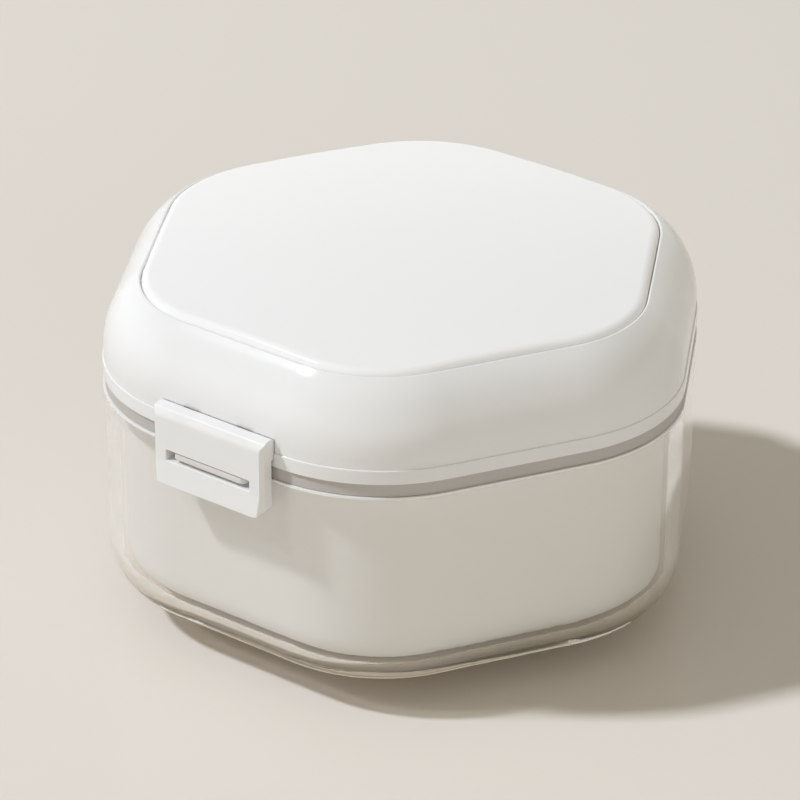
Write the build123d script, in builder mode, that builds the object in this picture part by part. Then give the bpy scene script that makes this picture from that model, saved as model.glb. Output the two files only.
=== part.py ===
from build123d import *
import os
from math import cos, pi, radians, sin, sqrt

# Aligner case: a clear outer bowl with a white tray hanging in it, a domed white lid with a
# crowned top panel, a grey seal between them, a snap latch in front and a pin hinge behind.
# Millimetres. Origin in the middle of the underside, +Z up, latch towards -Y, hinge towards +Y.

# Plan outline, the same rounded hexagon at every level, moved in where a wall leans or steps
across_flats = 84.0
corner_radius = 24.0
half_flats = across_flats / 2

# Outer bowl
seal_level = 35.8  # underside of the seal above the surface that the case stands on
bowl_wall = 2.0
bowl_floor = 2.2
bowl_edge_radius = 7.0
foot_height = 3.8
foot_inset = 15.5
foot_edge_radius = 0.8
mould_draft = 0.5  # degrees

# Tray that hangs on the rim of the bowl
tray_inset = 2.8  # tray wall behind the outline
tray_wall = 1.4
tray_floor = 1.5
tray_floor_gap = 0.4
tray_edge_radius = 5.2
tray_flange = 0.35
rim_gap = 0.03  # between the flange of the tray and the rim of the bowl
drain_slot_width = 3.0
drain_bridge = 4.0  # floor left between the ends of two slots in a ring
drain_rings = [(11.0, 6), (23.0, 12)]  # radius of each ring of slots and how many are in it

# Seal
seal_height = 2.0
seal_gap = 0.1  # the seal only just clears the tray flange, so that the lid can close on it
seal_inset = 0.3
seal_groove_width = 0.8
seal_groove_depth = 0.6
seal_groove_insets = [1.3, 2.9]

# Lid shell
lid_height = 15.8  # rim to the level where the shoulder would run out flat
lid_wall = 2.0
lid_rim_height = 2.1
lid_rim_step = 0.18  # the dome stands back from the rim by this much
shoulder_radius = 12.0
roof_thickness = 1.6
roof_inner_radius = 6.0

# Top panel in the lid
panel_inset = 5.8
panel_recess = 1.52  # from the lip in the shoulder down to the seat of the panel
panel_gap = 0.03
panel_edge_height = 2.15  # above its seat, at the middle of a flat
panel_crown = 2.0
panel_edge_roll = 1.4
panel_skin = 1.7
panel_land = 3.4  # width of the rim that the panel stands on
clip_width = 4.6
clip_thickness = 1.2
clip_hook = 0.45
clip_reach = 1.3  # clip below the underside of the roof
clip_gap = 0.12
recess_lip = 0.25

# Lid liner, the inner cover with the plug that holds the seal
liner_gap = 0.1
liner_wall = 1.5
liner_headroom = 1.7  # room over the liner for the clips of the panel
liner_top_radius = 5.6
plug_gap = 0.4
plug_depth = 2.5

# Hinge behind
hinge_barrel_radius = 2.2
hinge_pin_radius = 0.8
hinge_standoff = 2.7  # hinge axis behind the outline
hinge_rise = 1.05  # hinge axis above the seal's underside
hinge_width = 18.0
hinge_knuckles = 5
hinge_side_gap = 0.3
hinge_root_depth = 5.0
running_gap = 0.06
pinned_gap = 0.01

# Latch in front
latch_width = 19.8
latch_thickness = 2.05
latch_standoff = 0.45  # back of the latch in front of the outline
latch_drop = 5.25  # lower edge of the latch below the seal's underside
latch_barrel_radius = 1.7
latch_axis_rise = 4.8  # latch axis above the seal's underside
latch_flare = 0.35
latch_corner_radius = 1.8
latch_bevel = 0.9
latch_end_gap = 0.15
latch_swing = 100.0  # degrees
slot_width = 15.0
slot_top = 0.05
slot_bottom = 1.6
tongue_width = 13.0
tongue_thickness = 1.0
tongue_drop = 0.1  # top of the tongue below the seal's underside
tongue_edge_radius = 0.2
tongue_setback = 0.15  # tip of the tongue behind the latch's front face
latch_pin_radius = 0.45
lug_radius = 0.95
lug_width = 2.4
lug_spacing = 9.6
lug_neck = 1.1
lug_reach = 2.6  # from the latch axis to the root of a lug
lug_lean = 60.0  # degrees below level, from the axis back to the lid's rim
lug_gap = 0.25
notch_steps = 5  # positions of a lug that make up the sweep of its notch
latch_edge_radius = 0.15
latch_pin_inset = 0.2
pocket_gap = 0.06

# Levels and depths that follow from the sizes above
bowl_top = seal_level - tray_flange - rim_gap
tray_underside = foot_height + bowl_floor + tray_floor_gap
lid_bottom = seal_level + seal_gap + seal_height
lid_top = lid_bottom + lid_height
lid_inner_inset = lid_rim_step + lid_wall
shoulder_middle = lid_rim_step + shoulder_radius  # inset of the shoulder's centre line
lip_level = lid_top - shoulder_radius + sqrt(shoulder_radius**2 - (shoulder_middle - panel_inset)**2)
panel_seat = lip_level - panel_recess
roof_low = panel_seat - roof_thickness
plug_inset = tray_inset + tray_wall + plug_gap
hinge_y = half_flats + hinge_standoff
hinge_z = seal_level + hinge_rise
latch_back = half_flats + latch_standoff
latch_front = latch_back + latch_thickness
latch_y = latch_front - latch_barrel_radius
latch_z = seal_level + latch_axis_rise
latch_low = seal_level - latch_drop
slot_low = seal_level - slot_bottom
panel_half = half_flats - panel_inset - panel_gap
panel_top = panel_seat + panel_edge_height + panel_crown
panel_ball = (panel_half**2 + panel_crown**2) / (2 * panel_crown)  # radius of the crown
clip_face = panel_half - panel_land + clip_thickness  # outer face of a clip's leg


def hexagon(inset):
    """Rounded hexagon of the case, moved in by inset, with flats towards +Y and -Y."""
    with BuildSketch(mode=Mode.PRIVATE) as outline:
        RegularPolygon(half_flats - inset, 6, major_radius=False)
        fillet(outline.vertices(), corner_radius - inset)
    return outline.sketch


def bowl_block(inset, bottom, top, edge_radius):
    """Drafted block on the outline, widest at its top, with its lower edge rounded."""
    with BuildPart(mode=Mode.PRIVATE) as block:
        with BuildSketch(Plane.XY.offset(top)):
            add(hexagon(inset))
        extrude(amount=bottom - top, taper=mould_draft)
        fillet(block.faces().sort_by(Axis.Z)[0].edges(), edge_radius)
    return block.part


def domed_block(inset, bottom, top, edge_radius):
    """Upright block on the outline with its upper edge rounded."""
    with BuildPart(mode=Mode.PRIVATE) as block:
        with BuildSketch(Plane.XY.offset(bottom)):
            add(hexagon(inset))
        extrude(amount=top - bottom)
        fillet(block.faces().sort_by(Axis.Z)[-1].edges(), edge_radius)
    return block.part


def crowned_block(inset, ball_radius):
    """Block on the seat of the panel, crowned on top."""
    with BuildPart(mode=Mode.PRIVATE) as block:
        with BuildSketch(Plane.XY.offset(panel_seat)):
            add(hexagon(inset))
        extrude(amount=lid_height)
        with Locations((0, 0, panel_top - panel_ball)):
            Sphere(ball_radius, mode=Mode.INTERSECT)
    return block.part


def flat_plane(side):
    """Upright plane through the middle of one of the six flats, drawn outwards and up."""
    angle = radians(30 + 60 * side)
    return Plane(origin=(0, 0, 0), x_dir=(cos(angle), sin(angle), 0), z_dir=(sin(angle), -cos(angle), 0))


def cross_plane(x):
    """Upright plane across the case at x, drawn with its axes along +Y and +Z."""
    return Plane(origin=(x, 0, 0), x_dir=(0, 1, 0), z_dir=(1, 0, 0))


def direction(angle, length):
    """Step of a length at an angle above +Y, in an upright plane."""
    return (length * cos(radians(angle)), length * sin(radians(angle)))


def knuckle_spans(own):
    """Start and width of every second hinge knuckle along X: own is 0 for the bowl, 1 for the lid."""
    pitch = (hinge_width + hinge_side_gap) / hinge_knuckles
    return [(-hinge_width / 2 + k * pitch, pitch - hinge_side_gap) for k in range(own, hinge_knuckles, 2)]


def tongue_block():
    """Tongue that the slot of the latch closes over, reaching back into the bowl's rim."""
    with BuildPart(mode=Mode.PRIVATE) as block:
        with BuildSketch(Plane.XY.offset(seal_level - tongue_drop)) as plan:
            with Locations((0, -(latch_front - tongue_setback))):
                Rectangle(tongue_width, latch_front - tongue_setback - half_flats + bowl_wall,
                          align=(Align.CENTER, Align.MIN))
            fillet(plan.vertices().group_by(Axis.Y)[0], tongue_thickness)
        extrude(amount=-tongue_thickness)
        fillet(block.faces().sort_by(Axis.Y)[0].edges().filter_by(Axis.X), tongue_edge_radius)
    return block.part


# Outer bowl: deep drafted wall, large bottom radius, low foot with a sump for the water from the
# tray, catch tongue in front, knuckles behind
with BuildPart() as base_shell:
    add(bowl_block(0, foot_height, bowl_top, bowl_edge_radius))
    add(bowl_block(foot_inset, 0, foot_height + bowl_floor, foot_edge_radius))
    add(bowl_block(bowl_wall, foot_height + bowl_floor, bowl_top, bowl_edge_radius - bowl_wall),
        mode=Mode.SUBTRACT)
    add(bowl_block(foot_inset + bowl_wall, bowl_floor, foot_height + bowl_floor, foot_edge_radius),
        mode=Mode.SUBTRACT)
    add(tongue_block())
    # Hinge knuckles on gussets
    for start, width in knuckle_spans(0):
        with BuildSketch(cross_plane(start)):
            with Locations((hinge_y, hinge_z)):
                Circle(hinge_barrel_radius)
            with Locations((half_flats, bowl_top)):
                Rectangle(bowl_wall / 2, hinge_root_depth, align=(Align.MAX, Align.MAX))
            make_hull()
            with Locations((hinge_y - hinge_barrel_radius, bowl_top)):
                Rectangle(half_flats, half_flats, align=(Align.MAX, Align.MIN), mode=Mode.SUBTRACT)
            with Locations((hinge_y, hinge_z)):
                Circle(hinge_pin_radius + pinned_gap, mode=Mode.SUBTRACT)
        extrude(amount=width)
base_shell.part.label = "base_shell"


# Tray: flange on the bowl's rim, drafted wall, drain slots in the floor
with BuildPart() as inner_tray:
    add(bowl_block(tray_inset, tray_underside, seal_level, tray_edge_radius))
    with BuildSketch(Plane.XY.offset(seal_level)):
        add(hexagon(0))
    extrude(amount=-tray_flange)
    tray_hollow = bowl_block(tray_inset + tray_wall, tray_underside + tray_floor, seal_level,
                             tray_edge_radius - tray_wall)
    add(tray_hollow, mode=Mode.SUBTRACT)
    # Notch in the flange, which keys the tray over the root of the tongue
    with BuildSketch(Plane.XY.offset(seal_level)):
        with Locations((0, -half_flats)):
            Rectangle(tongue_width + 2 * lug_gap, bowl_wall + lug_gap, align=(Align.CENTER, Align.MIN))
    extrude(amount=-tray_flange, mode=Mode.SUBTRACT)
    # Drain slots, set round the middle with their length along the ring
    with BuildSketch(Plane.XY.offset(tray_underside)):
        Circle(drain_slot_width)
        for ring_radius, ring_count in drain_rings:
            with PolarLocations(ring_radius, ring_count):
                SlotOverall(2 * pi * ring_radius / ring_count - drain_bridge, drain_slot_width, rotation=90)
    extrude(amount=tray_floor, mode=Mode.SUBTRACT)
inner_tray.part.label = "inner_tray"


# Seal: flat silicone ring round the liner's plug, with two grooves that leave three lips below
with BuildPart() as seal_ring:
    with BuildSketch(Plane.XY.offset(lid_bottom)):
        add(hexagon(seal_inset))
        add(hexagon(plug_inset), mode=Mode.SUBTRACT)
    extrude(amount=-seal_height)
    with BuildSketch(Plane.XY.offset(lid_bottom - seal_height)):
        for groove_inset in seal_groove_insets:
            add(hexagon(groove_inset))
            add(hexagon(groove_inset + seal_groove_width), mode=Mode.SUBTRACT)
    extrude(amount=seal_groove_depth, mode=Mode.SUBTRACT)
seal_ring.part.label = "seal_ring"


# Lid liner: inner cover nested under the dome, with the plug that carries the seal
with BuildPart() as lid_liner:
    add(domed_block(lid_inner_inset + liner_gap, lid_bottom, roof_low - liner_headroom, liner_top_radius))
    with BuildSketch(Plane.XY.offset(lid_bottom)):
        add(hexagon(plug_inset))
    extrude(amount=-(lid_bottom - seal_level + plug_depth))
    chamfer(lid_liner.faces().sort_by(Axis.Z)[0].edges(), plug_gap)
    add(domed_block(lid_inner_inset + liner_gap + liner_wall, lid_bottom + liner_wall,
                    roof_low - liner_headroom - liner_wall, liner_top_radius - liner_wall), mode=Mode.SUBTRACT)
    with BuildSketch(Plane.XY.offset(seal_level - plug_depth)):
        add(hexagon(plug_inset + liner_wall))
    extrude(amount=lid_bottom + liner_wall - seal_level + plug_depth, mode=Mode.SUBTRACT)
lid_liner.part.label = "lid_liner"


# Lid shell: rim, dome with a large shoulder, seat for the panel, knuckles and latch lugs
with BuildPart() as lid_shell:
    add(domed_block(lid_rim_step, lid_bottom, lid_top, shoulder_radius))
    with BuildSketch(Plane.XY.offset(lid_bottom)):
        add(hexagon(0))
    extrude(amount=lid_rim_height)
    rim_ledge = lid_shell.faces().filter_by(Plane.XY).sort_by(Axis.Z)[1]
    fillet(rim_ledge.outer_wire().edges(), lid_rim_step * 0.6)
    with BuildSketch(Plane.XY.offset(panel_seat)):
        add(hexagon(panel_inset))
    extrude(amount=lid_top - panel_seat, mode=Mode.SUBTRACT)
    fillet(lid_shell.edges().group_by(Axis.Z)[-1], recess_lip)
    # Slots in the roof for the clips of the panel
    for side in range(6):
        with BuildSketch(flat_plane(side)):
            with Locations((clip_face + clip_gap, roof_low - clip_reach)):
                Rectangle(clip_thickness + clip_hook + 2 * clip_gap, roof_thickness + clip_reach,
                          align=(Align.MAX, Align.MIN))
        extrude(amount=clip_width / 2 + clip_gap, both=True, mode=Mode.SUBTRACT)
    # Hinge knuckles, rising to the wall of the lid
    for start, width in knuckle_spans(1):
        with BuildSketch(cross_plane(start)):
            with Locations((hinge_y, hinge_z)):
                Circle(hinge_barrel_radius)
            with Locations((half_flats - lid_rim_step, lid_bottom)):
                Rectangle(lid_wall / 2, hinge_root_depth, align=(Align.MAX, Align.MIN))
            make_hull()
            with Locations((hinge_y - hinge_barrel_radius, lid_bottom)):
                Rectangle(half_flats, half_flats, align=(Align.MAX, Align.MAX), mode=Mode.SUBTRACT)
            with Locations((hinge_y, hinge_z)):
                Circle(hinge_pin_radius + running_gap, mode=Mode.SUBTRACT)
        extrude(amount=width)
    # Round pocket behind the barrel of the latch
    with BuildSketch(cross_plane(-latch_width / 2 - latch_end_gap)):
        with Locations((-latch_y, latch_z)):
            Circle(latch_barrel_radius + pocket_gap)
    extrude(amount=latch_width + 2 * latch_end_gap, mode=Mode.SUBTRACT)
    # Lugs that hold the latch pin
    for lug_x in (-lug_spacing / 2, lug_spacing / 2):
        with BuildSketch(cross_plane(lug_x - lug_width / 2)):
            with Locations((-latch_y, latch_z)):
                Circle(lug_radius)
                with Locations(direction(-lug_lean, lug_reach / 2)):
                    Rectangle(lug_reach, lug_neck, rotation=-lug_lean)
        extrude(amount=lug_width)
    with BuildSketch(cross_plane(-lug_spacing)):
        with Locations((-latch_y, latch_z)):
            Circle(latch_pin_radius + pinned_gap)
    extrude(amount=2 * lug_spacing, mode=Mode.SUBTRACT)
    add(domed_block(lid_inner_inset, lid_bottom, roof_low, roof_inner_radius), mode=Mode.SUBTRACT)
lid_shell.part.label = "lid_shell"


# Top panel: crowned, with a rolled edge, cored out below, held by six clips through the roof
with BuildPart() as lid_panel:
    add(crowned_block(panel_inset + panel_gap, panel_ball))
    fillet(lid_panel.faces().sort_by(Axis.Z)[-1].edges(), panel_edge_roll)
    add(crowned_block(panel_inset + panel_gap + panel_land, panel_ball - panel_skin), mode=Mode.SUBTRACT)
    for side in range(6):
        with BuildSketch(flat_plane(side)):
            with Locations((clip_face, panel_seat)):
                Rectangle(clip_thickness, roof_thickness + clip_reach, align=Align.MAX)
            with Locations((clip_face, roof_low - clip_gap)):
                Polygon((0, 0), (clip_hook, 0), (clip_hook, -clip_hook), (0, clip_gap - clip_reach), align=None)
        extrude(amount=clip_width / 2, both=True)
lid_panel.part.label = "lid_panel"


# Latch: barrel at the top, flat plate with a flared foot, slot for the tongue, notches for the lugs
with BuildPart() as latch:
    with BuildSketch(cross_plane(-latch_width / 2)):
        Polygon((-latch_front, latch_z), (-latch_front, slot_low - 2 * latch_edge_radius),
                (-latch_front - latch_flare, latch_low), (-latch_back, latch_low), (-latch_back, latch_z),
                align=None)
        with Locations((-latch_y, latch_z)):
            Circle(latch_barrel_radius)
    extrude(amount=latch_width)
    # Front view, with round lower corners
    with BuildSketch(Plane.XZ) as front_view:
        with Locations((0, latch_low)):
            Rectangle(latch_width, 2 * latch_width, align=(Align.CENTER, Align.MIN))
        fillet(front_view.vertices().group_by(Axis.Z)[0], latch_corner_radius)
    extrude(amount=half_flats * 2, mode=Mode.INTERSECT)
    # Plan, with bevelled front corners
    with BuildSketch(Plane.XY) as plan:
        with Locations((0, -latch_front - latch_flare)):
            Rectangle(latch_width, half_flats, align=(Align.CENTER, Align.MIN))
        chamfer(plan.vertices().group_by(Axis.Y)[0], latch_bevel)
    extrude(amount=lid_top, mode=Mode.INTERSECT)
    with BuildSketch(Plane.XZ.offset(latch_back - latch_thickness)):
        with Locations((0, slot_low)):
            Rectangle(slot_width, slot_bottom + slot_top, align=(Align.CENTER, Align.MIN))
    extrude(amount=half_flats, mode=Mode.SUBTRACT)
    front_edges = latch.edges().filter_by(lambda edge: abs(edge.center().Y + latch_front) < 0.01)
    fillet(front_edges.filter_by(lambda edge: slot_low - 0.01 < edge.center().Z < slot_low + 2
                                 and abs(edge.center().X) < slot_width / 2 + 0.01), latch_edge_radius)
    # Notches that let the plate swing past the lugs
    neck_side = lug_neck / 2 + lug_gap
    for lug_x in (-lug_spacing / 2, lug_spacing / 2):
        with BuildSketch(cross_plane(lug_x - lug_width / 2 - lug_gap)):
            with Locations((-latch_y, latch_z)):
                Circle(lug_radius + lug_gap)
                for k in range(notch_steps + 1):
                    lean = latch_swing * k / notch_steps - lug_lean
                    with Locations(direction(lean, lug_reach / 2)):
                        Rectangle(lug_reach, 2 * neck_side, rotation=lean)
        extrude(amount=lug_width + 2 * lug_gap, mode=Mode.SUBTRACT)
    with BuildSketch(cross_plane(-latch_width)):
        with Locations((-latch_y, latch_z)):
            Circle(latch_pin_radius + running_gap)
    extrude(amount=1.5 * latch_width - latch_bevel, mode=Mode.SUBTRACT)
latch.part.label = "latch"


# Pins of the latch and of the hinge
with BuildPart() as latch_pin:
    with BuildSketch(cross_plane(-latch_width / 2 + latch_pin_inset)):
        with Locations((-latch_y, latch_z)):
            Circle(latch_pin_radius)
    extrude(amount=latch_width - latch_bevel - 2 * latch_pin_inset)
    chamfer(latch_pin.edges().filter_by(GeomType.CIRCLE), latch_pin_radius / 4)
latch_pin.part.label = "latch_pin"

with BuildPart() as hinge_pin:
    with BuildSketch(cross_plane(-hinge_width / 2 + hinge_side_gap / 2)):
        with Locations((hinge_y, hinge_z)):
            Circle(hinge_pin_radius)
    extrude(amount=hinge_width - hinge_side_gap)
    chamfer(hinge_pin.edges().filter_by(GeomType.CIRCLE), hinge_pin_radius / 4)
hinge_pin.part.label = "hinge_pin"


os.makedirs("parts", exist_ok=True)
for piece in (base_shell, inner_tray, seal_ring, lid_liner, lid_shell, lid_panel, latch, latch_pin, hinge_pin):
    export_step(piece.part, f"parts/{piece.part.label}.step")
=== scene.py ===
import math

import bpy
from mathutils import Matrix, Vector

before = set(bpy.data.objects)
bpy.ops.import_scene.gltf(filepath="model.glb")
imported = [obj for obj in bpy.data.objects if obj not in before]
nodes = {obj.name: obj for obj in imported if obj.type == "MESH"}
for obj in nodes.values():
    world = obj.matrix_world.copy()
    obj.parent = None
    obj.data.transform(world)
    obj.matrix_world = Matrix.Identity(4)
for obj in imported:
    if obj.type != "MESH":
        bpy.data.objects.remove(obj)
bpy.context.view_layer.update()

MM = 0.001

# From the CAD
BOWL_FRONT = -42.0 * MM  # only the tongue's faces are further forward
BEND_LEVEL = 9.0 * MM  # the bowl's round bottom edge ends here

# Camera of the photograph
CAMERA_AZIMUTH = 37.76  # degrees to the right of the front
CAMERA_ELEVATION = 27.64
CAMERA_DISTANCE = 632.6 * MM
CAMERA_TARGET = Vector((9.135, -12.537, 35.8)) * MM
CLIP_START = 10.0 * MM
LENS = 199.44
SENSOR = 36.0

# Lamps: the way their light goes, and the angle they fill, in degrees
KEY_DIRECTION = Vector((0.68, 0.57, -1.0))
KEY_COLOUR = (0.935, 0.985, 1.08)
KEY_STRENGTH = 2.22
KEY_ANGLE = 5.0
GLINT_DIRECTION = Vector((0.49, 0.3, -0.82))
GLINT_STRENGTH = 0.6
GLINT_ANGLE = 5.0
FILL_DIRECTION = Vector((-0.85, 0.45, 0.08))
FILL_COLOUR = (1.0, 0.98, 0.95)
FILL_STRENGTH = 0.76
FILL_ANGLE = 70.0

# World, in linear colours: its light, what the camera and the clear pieces see, and what gloss
# sees low down and overhead
WORLD_LIGHT = (0.41, 0.385, 0.325, 1)
ROOM_COLOUR = (0.78, 0.73, 0.67, 1)
GLOSS_LOW = (1.1, 1.09, 1.07, 1)
GLOSS_HIGH = (0.28, 0.275, 0.265, 1)
GLOSS_LOW_ANGLE = 12.0  # degrees above level
GLOSS_HIGH_ANGLE = 45.0

# Colours, linear
LID_WHITE = (0.875, 0.875, 0.87, 1)
# The panel is the lid's white plastic painted lighter: painted light, for the top that catches
# more light
PANEL_LIT_WHITE = (0.94, 0.94, 0.94, 1)
TRAY_WHITE = (0.9, 0.89, 0.88, 1)
SEAL_GREY = (0.55, 0.525, 0.495, 1)
CLEAR_COLOUR = (0.985, 0.98, 0.965, 1)
TONGUE_DARK = (0.8, 0.78, 0.77, 1)
TONGUE_PALE = (0.88, 0.86, 0.85, 1)
STEEL_DARK = (0.5, 0.5, 0.51, 1)
STEEL_PALE = (0.66, 0.66, 0.66, 1)
FLOOR_COLOUR = (0.81, 0.76, 0.7, 1)

# Moulded plastic. All noise scales here and below are per metre.
DRIFT_SCALE = 28.0
DRIFT_SHADE = 0.985  # the darkest share of the colour
GLOSS_SCALE = 160.0
GLOSS_DRIFT = 0.15  # share by which the roughness goes up and down
GRAIN_SCALE = 2600.0
GRAIN_DEPTH = 0.02 * MM
PLASTIC_IOR = 1.5
SUBSURFACE_WEIGHT = 0.2
SUBSURFACE_DEPTH = 1.2 * MM

# Silicone
BLOOM_SCALE = 120.0
BLOOM_SHADE = 0.93
SILICONE_ROUGHNESS = (0.5, 0.62)
SILICONE_GRAIN_SCALE = 4000.0
SILICONE_GRAIN = 0.3
SILICONE_IOR = 1.41
SHEEN_WEIGHT = 0.1
SHEEN_ROUGHNESS = 0.5

# Clear plastic
CLEAR_IOR = 1.27
CLEAR_TRANSMISSION = 0.9
WAVE_SCALE = 30.0
WAVE_STRENGTH = 0.02
WAVE_DEPTH = 0.1 * MM
SMEAR_SCALE = 210.0
CLEAR_ROUGHNESS = (0.0, 0.035)
# Light that passes straight through: tints at the bend and on the wall, and the levels between
# which the one turns into the other. Trapped light is past its first bounces.
LAMP_AT_BEND = (0.25, 0.235, 0.21, 1)
LAMP_ON_WALL = (0.8, 0.795, 0.785, 1)
LAMP_LEVELS = (BEND_LEVEL, BEND_LEVEL + 4.0 * MM)
# Painted shade: light trapped in the round bottom edge is tinted darker and browner, for the
# shade under the bowl
TRAPPED_SHADE_AT_BEND = (0.88, 0.83, 0.75, 1)
TRAPPED_ON_WALL = (0.98, 0.98, 0.975, 1)
TRAPPED_LEVELS = (BEND_LEVEL - 5.0 * MM, BEND_LEVEL - 1.0 * MM)
TRAPPED_RAY_DEPTH = 1.5

# Rubbed plastic of the tongue
RUB_SCALE = 900.0
RUB_ROUGHNESS = (0.4, 0.6)
RUB_IOR = 1.49
RUB_TRANSMISSION = 0.1

# Steel wire
DRAW_SCALES = (60.0, 4000.0, 4000.0)  # long along the pin, fine across it
STEEL_ROUGHNESS = (0.2, 0.38)

# Floor
FLOOR_SIZE = 6.0
# Painted shade on the floor: its colour gets darker along this way, away from the key
FLOOR_SHADE_WAY = (0.475, 0.88, 0)  # way along which the floor gets darker, away from the key
FLOOR_SHADE_LEVELS = (-120.0 * MM, 320.0 * MM)
FLOOR_SHADE_SHARE = 0.84
FLOOR_SMEAR_SCALE = 12.0
FLOOR_ROUGHNESS = (0.04, 0.07)
FLOOR_IOR = 1.3


class Graph:
    """Short calls for a node tree."""

    def __init__(self, tree):
        self.nodes = tree.nodes
        self.links = tree.links

    def add(self, kind, **values):
        node = self.nodes.new(kind)
        for key, value in values.items():
            setattr(node, key, value)
        return node

    def link(self, source, target):
        self.links.new(source, target)

    def height(self, place):
        """The Z of a place."""
        node = self.add("ShaderNodeSeparateXYZ")
        self.link(place, node.inputs[0])
        return node.outputs["Z"]

    def spread(self, source, low, high):
        """The source's 0 to 1 spread over low to high."""
        node = self.add("ShaderNodeMapRange")
        node.inputs["To Min"].default_value = low
        node.inputs["To Max"].default_value = high
        self.link(source, node.inputs["Value"])
        return node.outputs["Result"]

    def ramp(self, source, start, end, **values):
        """0 to 1 while the source goes from start to end."""
        node = self.add("ShaderNodeMapRange", **values)
        node.inputs["From Min"].default_value = start
        node.inputs["From Max"].default_value = end
        self.link(source, node.inputs["Value"])
        return node.outputs["Result"]

    def tint(self, share, first, second):
        """Colour from first to second by the share; each of the two is a colour or a socket."""
        node = self.add("ShaderNodeMix", data_type="RGBA")
        self.link(share, node.inputs[0])
        for socket, value in ((node.inputs[6], first), (node.inputs[7], second)):
            if isinstance(value, tuple):
                socket.default_value = value
            else:
                self.link(value, socket)
        return node.outputs[2]


class Surface(Graph):
    """A material: one Principled shader, with noise and bump in the object's own space."""

    def __init__(self, name):
        self.material = bpy.data.materials.new(name)
        self.material.use_nodes = True
        super().__init__(self.material.node_tree)
        self.nodes.clear()
        self.out = self.add("ShaderNodeOutputMaterial").inputs["Surface"]
        self.place = self.add("ShaderNodeTexCoord").outputs["Object"]
        self.shader = self.add("ShaderNodeBsdfPrincipled")
        self.link(self.shader.outputs[0], self.out)

    def feed(self, socket, source):
        self.link(source, self.shader.inputs[socket])

    def fix(self, values):
        """Sets the shader's sockets that are the same all over."""
        for socket, value in values.items():
            self.shader.inputs[socket].default_value = value

    def noise(self, scale, detail, roughness=0.5, place=None):
        node = self.add("ShaderNodeTexNoise")
        node.inputs["Scale"].default_value = scale
        node.inputs["Detail"].default_value = detail
        node.inputs["Roughness"].default_value = roughness
        self.link(place or self.place, node.inputs["Vector"])
        return node.outputs["Fac"]

    def bump(self, height, strength, distance):
        node = self.add("ShaderNodeBump")
        node.inputs["Strength"].default_value = strength
        node.inputs["Distance"].default_value = distance
        self.link(height, node.inputs["Height"])
        return node.outputs["Normal"]


def scaled(colour, share):
    return tuple(c * share for c in colour[:3]) + (1,)


def moulded_plastic(name, colour, roughness, grain):
    """Injection-moulded plastic: fine grain, slow drifts of tone and gloss."""
    s = Surface(name)
    drift = s.noise(DRIFT_SCALE, detail=2.0)
    fine = s.noise(GRAIN_SCALE, detail=2.0)
    gloss = s.noise(GLOSS_SCALE, detail=4.0, roughness=0.6)
    s.feed("Base Color", s.tint(drift, scaled(colour, DRIFT_SHADE), colour))
    low, high = roughness * (1 - GLOSS_DRIFT), roughness * (1 + GLOSS_DRIFT)
    s.feed("Roughness", s.spread(gloss, low, high))
    s.feed("Normal", s.bump(fine, grain, GRAIN_DEPTH))
    s.fix({"IOR": PLASTIC_IOR, "Subsurface Weight": SUBSURFACE_WEIGHT,
           "Subsurface Radius": (1.0, 1.0, 1.0), "Subsurface Scale": SUBSURFACE_DEPTH})
    return s.material


def silicone(name, colour):
    """Matte silicone with a faint bloom."""
    s = Surface(name)
    bloom = s.noise(BLOOM_SCALE, detail=4.0, roughness=0.6)
    fine = s.noise(SILICONE_GRAIN_SCALE, detail=2.0)
    s.feed("Base Color", s.tint(bloom, scaled(colour, BLOOM_SHADE), colour))
    s.feed("Roughness", s.spread(bloom, *SILICONE_ROUGHNESS))
    s.feed("Normal", s.bump(fine, SILICONE_GRAIN, GRAIN_DEPTH))
    s.fix({"IOR": SILICONE_IOR, "Sheen Weight": SHEEN_WEIGHT, "Sheen Roughness": SHEEN_ROUGHNESS})
    return s.material


def clear_plastic(name):
    """Polished clear plastic, which lets the lamps' light through to the tray."""
    s = Surface(name)
    wave = s.noise(WAVE_SCALE, detail=1.0)
    smear = s.noise(SMEAR_SCALE, detail=4.0, roughness=0.6)
    s.feed("Roughness", s.spread(smear, *CLEAR_ROUGHNESS))
    s.feed("Normal", s.bump(wave, WAVE_STRENGTH, WAVE_DEPTH))
    s.fix({"Base Color": CLEAR_COLOUR, "IOR": CLEAR_IOR,
           "Transmission Weight": CLEAR_TRANSMISSION})
    path = s.add("ShaderNodeLightPath")
    level = s.height(s.place)
    # The round bottom edge bends the lamps' light aside, the wall lets it pass
    lamp = s.tint(s.ramp(level, *LAMP_LEVELS), LAMP_AT_BEND, LAMP_ON_WALL)
    # Light that has bounced about in the wall gets out, as it does from a real one in the end; at
    # the bend it carries painted shade, darker and browner
    trapped = s.tint(s.ramp(level, *TRAPPED_LEVELS), TRAPPED_SHADE_AT_BEND, TRAPPED_ON_WALL)
    is_trapped = s.add("ShaderNodeMath", operation="GREATER_THAN")
    s.link(path.outputs["Ray Depth"], is_trapped.inputs[0])
    is_trapped.inputs[1].default_value = TRAPPED_RAY_DEPTH
    passing = s.add("ShaderNodeMath", operation="MAXIMUM")
    s.link(path.outputs["Is Shadow Ray"], passing.inputs[0])
    s.link(is_trapped.outputs[0], passing.inputs[1])
    through = s.add("ShaderNodeBsdfTransparent")
    s.link(s.tint(path.outputs["Is Shadow Ray"], trapped, lamp), through.inputs["Color"])
    mix = s.add("ShaderNodeMixShader")
    s.link(passing.outputs[0], mix.inputs[0])
    s.link(s.shader.outputs[0], mix.inputs[1])
    s.link(through.outputs[0], mix.inputs[2])
    s.link(mix.outputs[0], s.out)
    return s.material


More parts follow.
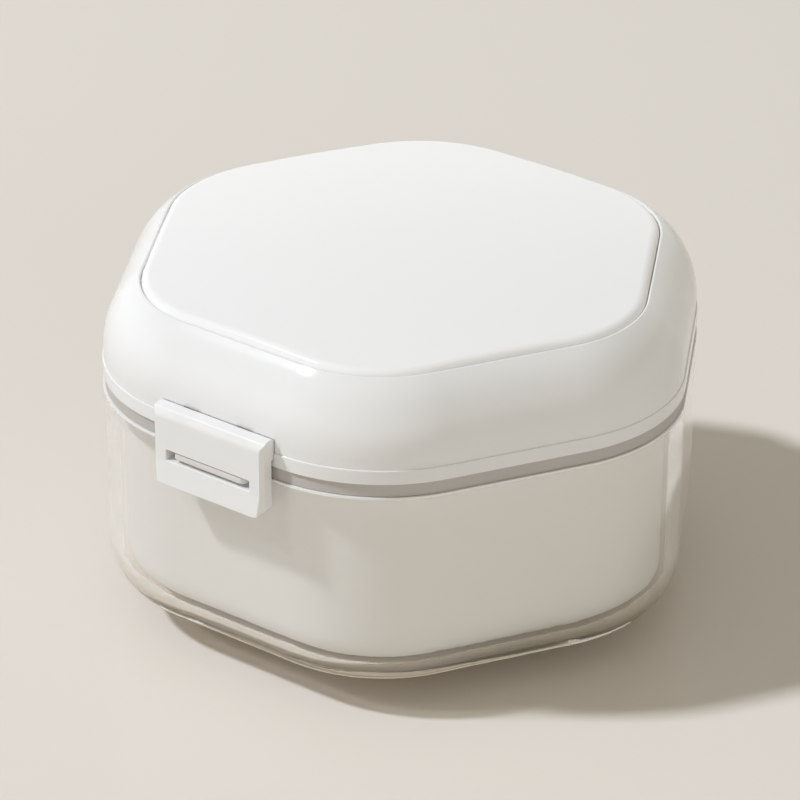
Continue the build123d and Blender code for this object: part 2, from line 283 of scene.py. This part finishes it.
def matt_clear(name):
    """The same plastic rubbed matt, as on the tongue that the latch snaps over."""
    s = Surface(name)
    rub = s.noise(RUB_SCALE, detail=3.0)
    s.feed("Base Color", s.tint(rub, TONGUE_DARK, TONGUE_PALE))
    s.feed("Roughness", s.spread(rub, *RUB_ROUGHNESS))
    s.fix({"IOR": RUB_IOR, "Transmission Weight": RUB_TRANSMISSION})
    return s.material


def drawn_steel(name):
    """Steel wire with draw marks along X."""
    s = Surface(name)
    stretch = s.add("ShaderNodeMapping")
    stretch.inputs["Scale"].default_value = DRAW_SCALES
    s.link(s.place, stretch.inputs["Vector"])
    marks = s.noise(1.0, detail=3.0, place=stretch.outputs[0])
    s.feed("Base Color", s.tint(marks, STEEL_DARK, STEEL_PALE))
    s.feed("Roughness", s.spread(marks, *STEEL_ROUGHNESS))
    s.fix({"Metallic": 1.0})
    return s.material


def floor_material(name):
    """Pale polished surface with painted shade: its colour gets darker away from the key."""
    s = Surface(name)
    away = s.add("ShaderNodeVectorMath", operation="DOT_PRODUCT")
    s.link(s.place, away.inputs[0])
    away.inputs[1].default_value = FLOOR_SHADE_WAY
    painted_shade = s.ramp(away.outputs["Value"], *FLOOR_SHADE_LEVELS, interpolation_type="SMOOTHSTEP")
    s.feed("Base Color", s.tint(painted_shade, FLOOR_COLOUR, scaled(FLOOR_COLOUR, FLOOR_SHADE_SHARE)))
    s.feed("Roughness", s.spread(s.noise(FLOOR_SMEAR_SCALE, detail=3.0), *FLOOR_ROUGHNESS))
    s.fix({"IOR": FLOOR_IOR})
    return s.material


def dress(node, material):
    slots = nodes[node].material_slots
    for slot in slots:
        slot.material = material
    if not slots:
        nodes[node].data.materials.append(material)


# Node, material, colour, roughness, strength of the grain
for node, name, colour, roughness, grain in (
        ("lid_shell", "lid_plastic", LID_WHITE, 0.12, 0.1),
        # The panel's material carries painted light: a lighter copy of the lid's plastic
        ("lid_panel", "panel_plastic", PANEL_LIT_WHITE, 0.12, 0.1),
        ("latch", "latch_plastic", LID_WHITE, 0.14, 0.1),
        ("inner_tray", "tray_plastic", TRAY_WHITE, 0.42, 0.3),
        ("lid_liner", "liner_plastic", TRAY_WHITE, 0.4, 0.3)):
    dress(node, moulded_plastic(name, colour, roughness, grain))
dress("seal_ring", silicone("seal_silicone", SEAL_GREY))
dress("base_shell", clear_plastic("bowl_plastic"))
bowl = nodes["base_shell"].data
bowl.materials.append(matt_clear("tongue_plastic"))
for polygon in bowl.polygons:
    if polygon.center.y < BOWL_FRONT:
        polygon.material_index = len(bowl.materials) - 1
steel = drawn_steel("pin_steel")
dress("hinge_pin", steel)
dress("latch_pin", steel)

# Floor
bpy.ops.mesh.primitive_plane_add(size=FLOOR_SIZE, location=(0, 0, 0))
floor = bpy.context.active_object
floor.name = "floor"
floor.data.materials.append(floor_material("floor_surface"))


def sun(name, direction, colour, strength, angle):
    lamp = bpy.data.objects.new(name, bpy.data.lights.new(name, "SUN"))
    lamp.data.energy = strength
    lamp.data.angle = math.radians(angle)
    lamp.data.color = colour
    lamp.rotation_mode = "QUATERNION"
    lamp.rotation_quaternion = direction.to_track_quat("-Z", "Y")
    bpy.context.scene.collection.objects.link(lamp)
    return lamp


# The key lights without gloss, and a second lamp beside it gives the gloss
key = sun("key", KEY_DIRECTION, KEY_COLOUR, KEY_STRENGTH, KEY_ANGLE)
key.visible_glossy = False
key.visible_transmission = False
glint = sun("glint", GLINT_DIRECTION, KEY_COLOUR, GLINT_STRENGTH, GLINT_ANGLE)
glint.visible_diffuse = False
glint.visible_transmission = False
fill = sun("fill", FILL_DIRECTION, FILL_COLOUR, FILL_STRENGTH, FILL_ANGLE)
fill.visible_glossy = False

# World
world = bpy.data.worlds.new("studio")
bpy.context.scene.world = world
world.use_nodes = True
sky = Graph(world.node_tree)
rise = sky.ramp(sky.height(sky.add("ShaderNodeTexCoord").outputs["Generated"]),
                math.sin(math.radians(GLOSS_LOW_ANGLE)),
                math.sin(math.radians(GLOSS_HIGH_ANGLE)), interpolation_type="SMOOTHSTEP")
rays = sky.add("ShaderNodeLightPath").outputs
light = sky.tint(rays["Is Camera Ray"], WORLD_LIGHT, ROOM_COLOUR)
light = sky.tint(rays["Is Transmission Ray"], light, ROOM_COLOUR)
light = sky.tint(rays["Is Glossy Ray"], light, sky.tint(rise, GLOSS_LOW, GLOSS_HIGH))
sky.link(light, sky.nodes["Background"].inputs["Color"])

# Camera
azimuth, elevation = math.radians(CAMERA_AZIMUTH), math.radians(CAMERA_ELEVATION)
back = Vector((math.sin(azimuth) * math.cos(elevation),
               -math.cos(azimuth) * math.cos(elevation),
               math.sin(elevation)))
camera = bpy.data.objects.new("camera", bpy.data.cameras.new("camera"))
camera.data.lens = LENS
camera.data.sensor_width = SENSOR
camera.data.clip_start = CLIP_START
camera.location = CAMERA_TARGET + back * CAMERA_DISTANCE
camera.rotation_mode = "QUATERNION"
camera.rotation_quaternion = (-back).to_track_quat("-Z", "Y")
bpy.context.scene.collection.objects.link(camera)
bpy.context.scene.camera = camera
bpy.context.scene.view_settings.view_transform = "Standard"
